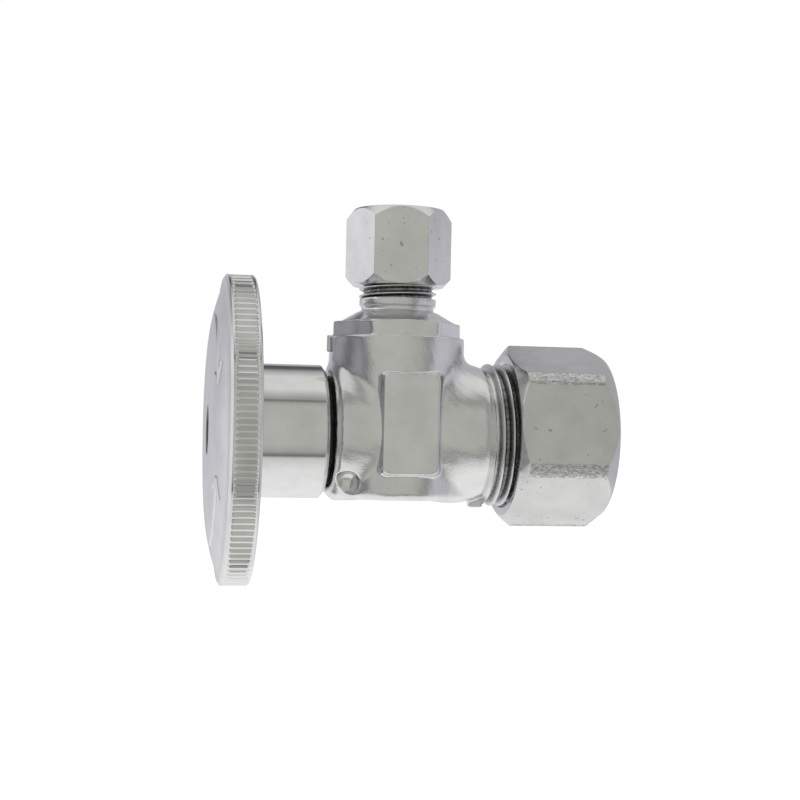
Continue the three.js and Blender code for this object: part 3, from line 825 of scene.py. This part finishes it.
forging_low, forging_high = (-11.2, -11.5, -12.0), (15.0, 11.5, 20.0)
valve_body = mesh_object(
    "forged_body", *voxel_mesh(forging, forging_low, forging_high, VOXEL), CROSSING)
inlet_stub = male_stub(
    "inlet", INLET_THREAD, start=12.4, end=24.0, bore=7.0, place=INLET, columns=180)
boolean(valve_body, inlet_stub, "UNION")
outlet_stub = male_stub(
    "outlet", OUTLET_THREAD, start=18.5, end=27.5, bore=2.0, place=UP, columns=144)
boolean(valve_body, outlet_stub, "UNION")
run_bore = plug("run_bore", [
    [0, -10.6], [6.65, -10.6], [6.65, -4.9], [5.6, -4.9], [5.6, 4.9], [3.9, 4.9],
    [3.9, 3.9], [3.0, 3.9], [3.0, 11.0], [8.1, 11.0], [8.1, 22.9], [9.1, 24.2],
    [9.1, 25.0], [0, 25.0],
], INLET)
boolean(valve_body, run_bore, "DIFFERENCE")
outlet_bore = plug("outlet_bore", [
    [0, 2.8], [2.4, 2.8], [2.4, 18.0], [3.3, 18.0], [3.3, 26.7], [4.1, 27.7],
    [4.1, 28.5], [0, 28.5],
], UP)
boolean(valve_body, outlet_bore, "DIFFERENCE")
clean(valve_body, 50)
finish_piece(valve_body, "fixed", "valve_body", CHROME_BODY)


# ---- Small turned pieces -------------------------------------------------------------

def sleeve(name, bore, bulge, start, end, place):
    """A barrel-shaped compression sleeve."""
    taper = (end - start) / 3
    return turned(name, [
        [bore, start], [bore + 0.25, start], [bulge, start + taper, 0.8],
        [bulge, end - taper, 0.8], [bore + 0.4, end], [bore, end],
    ], place, 128, 0.08)


large_sleeve = sleeve(
    "compression_sleeve_large", bore=8.2, bulge=9.3, start=23.95, end=27.1, place=INLET)
finish_piece(large_sleeve, "inlet_sleeve", "inlet_ferrule", BRASS)

small_sleeve = sleeve(
    "compression_sleeve_small", bore=3.4, bulge=4.5, start=27.4, end=30.2, place=UP)
finish_piece(small_sleeve, "outlet_sleeve", "outlet_ferrule", BRASS)

gasket = turned("bonnet_seal", [
    [6.7, 9.9], [7.6, 9.9, 0.25], [7.6, 10.62, 0.25], [6.7, 10.62],
], HANDLE, 128, 0.1)
finish_piece(gasket, "fixed", "bonnet_gasket", RUBBER)


def bar(name, wide, deep, low, high, place):
    """A rectangular bar along the axis, for cutting a slot."""
    half_wide, half_deep = wide / 2, deep / 2
    corners = [(-half_wide, -half_deep), (half_wide, -half_deep), (half_wide, half_deep),
               (-half_wide, half_deep)]
    vertices = [(x, y, z) for z in (low, high) for x, y in corners]
    faces = [(0, 1, 2, 3), (4, 5, 6, 7)]
    faces += [(i, (i + 1) % 4, 4 + (i + 1) % 4, 4 + i) for i in range(4)]
    return mesh_object(name, vertices, faces, place)


def slotted_screw(name, shank, tip, head_radius, head_start, head_end, slot, place):
    """A slotted screw whose head lies beyond head_start."""
    rise = math.copysign(1, head_end - head_start)
    screw = plug(name, [
        [0, tip], [shank - 0.3, tip], [shank, tip + 0.4 * rise], [shank, head_start],
        [head_radius, head_start], [head_radius, head_end - 0.3 * rise, 0.25],
        [head_radius - 0.5, head_end, 0.2], [0, head_end],
    ], place, 64)
    cutter = bar("slot", 2 * head_radius + 1, slot, head_end - 0.5, head_end + 0.5, place)
    boolean(screw, cutter, "DIFFERENCE")
    clean(screw)
    return screw


handle_screw = slotted_screw(
    "handle_retaining_screw", shank=1.4, tip=16.8, head_radius=3.1, head_start=25.2,
    head_end=26.4, slot=0.9, place=HANDLE)
finish_piece(handle_screw, "stem_and_handle", "handle_screw", BRASS)


# ---- Bonnet --------------------------------------------------------------------------

def capped(profile, angles):
    """A lathe whose profile ends on the axis, closed there by one flat face."""
    points = rounded(profile, 0.05, 2)[:-1]
    vertices, faces = lathe(lambda angle: points, angles, closed=False)
    rows = len(points)
    faces.append(tuple(j * rows + rows - 1 for j in range(len(angles))))
    return vertices, faces


def threaded_bar(name, thread, start, end, below, above, place, play, least):
    """A bar threaded from start to end. below and above run from the thread to the axis."""
    foot, tip = below[0][0], above[0][0]

    def bounded(radius, height):
        if height <= start + 1e-9:
            return foot
        if height >= end - 1e-9:
            return tip
        return max(radius, least)

    angles = even(96)
    threads = thread_tube(thread, start, end, bounded, angles, play)
    return mesh_object(name, *joined(threads, capped(below, angles), capped(above, angles)), place)


def hex_ring(name, flats, start, end, bore, chamfer, place):
    """A hexagonal ring with a chamfered outer end."""
    corner = flats / 2 / math.cos(SECTOR / 2)

    def profile(angle):
        side = hex_radius(angle, flats, corner)
        drop = max(side - (corner - chamfer), 0.02) * 0.58
        return rounded([
            [bore, start, 0], [bore, end, 0], [side - drop / 0.58, end, 0.05],
            [side, end - drop, 0.05], [side, start, 0.05],
        ], 0.05, 2, closed=True)

    return mesh_object(name, *lathe(profile, hex_angles(0, 0.8)), place, 25)


bonnet = plug("brass_bonnet", [
    [0, 5.2], [5.85, 5.2], [6.35, 5.7], [6.35, 10.7], [7.6, 10.7, 0.15], [7.6, 11.7, 0.15],
    [5.56, 11.7], [5.56, 18.3, 0.2], [0, 18.3],
], HANDLE)
hexagon = hex_ring(
    "bonnet_hexagon", flats=13.0, start=11.2, end=14.2, bore=5.0, chamfer=0.7, place=HANDLE)
boolean(bonnet, hexagon, "UNION")
stem_way = threaded_bar(
    "stem_way", STEM_THREAD, start=4.2, end=12.3,
    below=[[4.2, 4.2], [0, 4.2]],
    above=[[3.3, 12.3], [3.3, 14.0], [4.4, 14.0], [4.4, 19.3], [0, 19.3]],
    place=HANDLE, play=THREAD_PLAY, least=4.148)
boolean(bonnet, stem_way, "DIFFERENCE")
clean(bonnet, 30)
finish_piece(bonnet, "fixed", "bonnet", BRASS)


# ---- Carried-over CAD nodes ----------------------------------------------------------

CAD_FINISHES = {
    BRASS: ["packing_nut", "packing_washer", "packing_follower", "stem",
            "disc_holder", "washer_screw"],
    RUBBER: ["seat_washer"],
    PACKING: ["stem_packing"],
    STEEL: ["swivel_ring"],
}
for material, names in CAD_FINISHES.items():
    for name in names:
        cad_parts[name].data.materials.clear()
        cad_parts[name].data.materials.append(material)


# ---- Stage, light and camera ---------------------------------------------------------

def stage_floor():
    """A plain pale floor well below the valve."""
    size, depth = 8.0, -0.09
    mesh = bpy.data.meshes.new("stage_floor")
    corners = [(-size, -size, depth), (size, -size, depth), (size, size, depth),
               (-size, size, depth)]
    mesh.from_pydata(corners, [], [(0, 1, 2, 3)])
    floor = bpy.data.objects.new("stage_floor", mesh)
    bpy.context.scene.collection.objects.link(floor)
    nodes = Nodes("stage_white")
    nodes.set(Base_Color=(0.9, 0.9, 0.9, 1), Roughness=0.9)
    nodes.set(Emission_Color=(1, 1, 1, 1), Emission_Strength=0.55)
    floor.data.materials.append(nodes.material)
    floor.visible_glossy = False


def area_light(name, energy, size, position):
    """A soft light that adds no streaks to the chrome."""
    light = bpy.data.lights.new(name, "AREA")
    light.energy = energy
    light.size = size
    obj = bpy.data.objects.new(name, light)
    obj.location = position
    target = Vector((OUTLET_X * MM, 0, 0))
    obj.rotation_euler = (target - obj.location).to_track_quat("-Z", "Y").to_euler()
    obj.visible_glossy = False
    bpy.context.scene.collection.objects.link(obj)


class WorldNodes(Nodes):
    """The same short way for the world."""

    def __init__(self, world):
        self.tree = world.node_tree
        self.place = self.add("ShaderNodeTexCoord").outputs["Generated"]


def tent_world():
    """A white light tent with a grey opening towards the camera."""
    world = bpy.data.worlds.new("light_tent")
    world.use_nodes = True
    nodes = WorldNodes(world)
    x, y, z = nodes.coordinates()
    forward = nodes.math("MULTIPLY", y, -1.0)

    # Tent walls, by the direction's angle about the X axis: 0.5 is level towards -Y,
    # 0.75 is straight up and 0.25 is straight down.
    angle = nodes.math("ARCTAN2", z, forward)
    around = nodes.remap(angle, -math.pi, math.pi, 0, 1)
    walls = nodes.ramp(
        around,
        (0.00, (0.60, 0.59, 0.64)),
        (0.05, (0.86, 0.86, 0.88)),
        (0.12, (0.98, 0.98, 0.99)),
        (0.30, (0.93, 0.93, 0.93)),
        (0.36, (0.74, 0.74, 0.73)),
        (0.385, (0.50, 0.50, 0.49)),
        (0.640, (0.26, 0.26, 0.26)),
        (0.672, (0.46, 0.46, 0.45)),
        (0.715, (0.78, 0.78, 0.77)),
        (0.800, (0.78, 0.78, 0.76)),
        (0.850, (0.42, 0.42, 0.43)),
        (0.878, (0.12, 0.12, 0.13)),
        (0.912, (0.10, 0.10, 0.11)),
        (0.935, (0.46, 0.46, 0.49)),
        (1.00, (0.60, 0.59, 0.64)),
    )
    level = nodes.remap(nodes.math("ABSOLUTE", z), 0.35, 0.75, 1, 0)
    left = nodes.math("MULTIPLY", nodes.remap(x, -0.45, -0.8, 0, 1), level)
    right = nodes.math("MULTIPLY", nodes.remap(x, 0.45, 0.8, 0, 1), level)
    walls = nodes.mix(left, walls, (0.86, 0.86, 0.90))
    walls = nodes.mix(right, walls, (0.59, 0.58, 0.63))
    # The dark strip overhead ends before the wall's side of the tent.
    strip = nodes.math("MULTIPLY", nodes.remap(around, 0.82, 0.85, 0, 1),
                       nodes.remap(around, 0.97, 0.94, 0, 1))
    strip_end = nodes.math("MULTIPLY", strip, nodes.remap(x, 0.18, 0.23, 0, 1))
    walls = nodes.mix(strip_end, walls, (0.50, 0.49, 0.52))

    # The opening, a rectangle seen straight ahead: 1 is its edge.
    depth = nodes.math("MAXIMUM", forward, 0.001)
    across = nodes.math("DIVIDE", x, depth)
    height = nodes.math("DIVIDE", z, depth)
    across = nodes.math("ABSOLUTE", nodes.math("DIVIDE", nodes.math("ADD", across, 0.8), 1.95))
    height = nodes.math("ABSOLUTE", nodes.math(
        "DIVIDE", nodes.math("SUBTRACT", height, 0.238), 1.138))
    edge = nodes.math("MAXIMUM", across, height)
    opening = nodes.ramp(
        nodes.math("MULTIPLY", edge, 0.5),
        (0.00, (0.535, 0.54, 0.505)),
        (0.30, (0.52, 0.525, 0.49)),
        (0.42, (0.42, 0.42, 0.395)),
        (0.48, (0.24, 0.235, 0.22)),
        (0.53, (0.18, 0.18, 0.17)),
    )
    outside = nodes.remap(edge, 1.03, 1.12, 0, 1)
    lit = nodes.mix(outside, opening, walls)

    shaded = nodes.tree.nodes["Background"]
    nodes.link(lit, shaded.inputs["Color"])
    plain = nodes.add("ShaderNodeBackground")
    plain.inputs["Color"].default_value = (1, 1, 1, 1)
    rays = nodes.add("ShaderNodeLightPath")
    mix = nodes.add("ShaderNodeMixShader")
    nodes.link(rays.outputs["Is Camera Ray"], mix.inputs["Fac"])
    nodes.link(shaded.outputs["Background"], mix.inputs[1])
    nodes.link(plain.outputs["Background"], mix.inputs[2])
    nodes.link(mix.outputs["Shader"], nodes.tree.nodes["World Output"].inputs["Surface"])
    bpy.context.scene.world = world


def photo_camera():
    """The viewing angle: level, and a little towards the handle's side."""
    azimuth, elevation, roll = math.radians(-10.2), math.radians(0.5), math.radians(1.22)
    distance, focal_length, sensor = 0.217, 67.725, 36.0
    aim_right, aim_up = -0.00349, -0.02193  # the crossing's place, as tangents off centre
    target = Vector((OUTLET_X * MM, 0, 0))
    back = Vector((
        math.sin(azimuth) * math.cos(elevation),
        -math.cos(azimuth) * math.cos(elevation),
        math.sin(elevation)))
    data = bpy.data.cameras.new("photo_camera")
    data.sensor_width = sensor
    data.lens = focal_length
    camera = bpy.data.objects.new("photo_camera", data)
    rotation = back.to_track_quat("Z", "Y").to_matrix()
    rotation = rotation @ Matrix.Rotation(roll, 3, "Z")
    rotation = rotation @ Matrix.Rotation(math.atan(aim_right), 3, "Y")
    rotation = rotation @ Matrix.Rotation(-math.atan(aim_up), 3, "X")
    camera.matrix_world = Matrix.Translation(target + back * distance) @ rotation.to_4x4()
    bpy.context.scene.collection.objects.link(camera)
    bpy.context.scene.camera = camera


stage_floor()
tent_world()
area_light("soft_top", 6.0, 1.5, (-0.2, -0.4, 1.2))
photo_camera()
bpy.context.scene.view_settings.view_transform = "Standard"
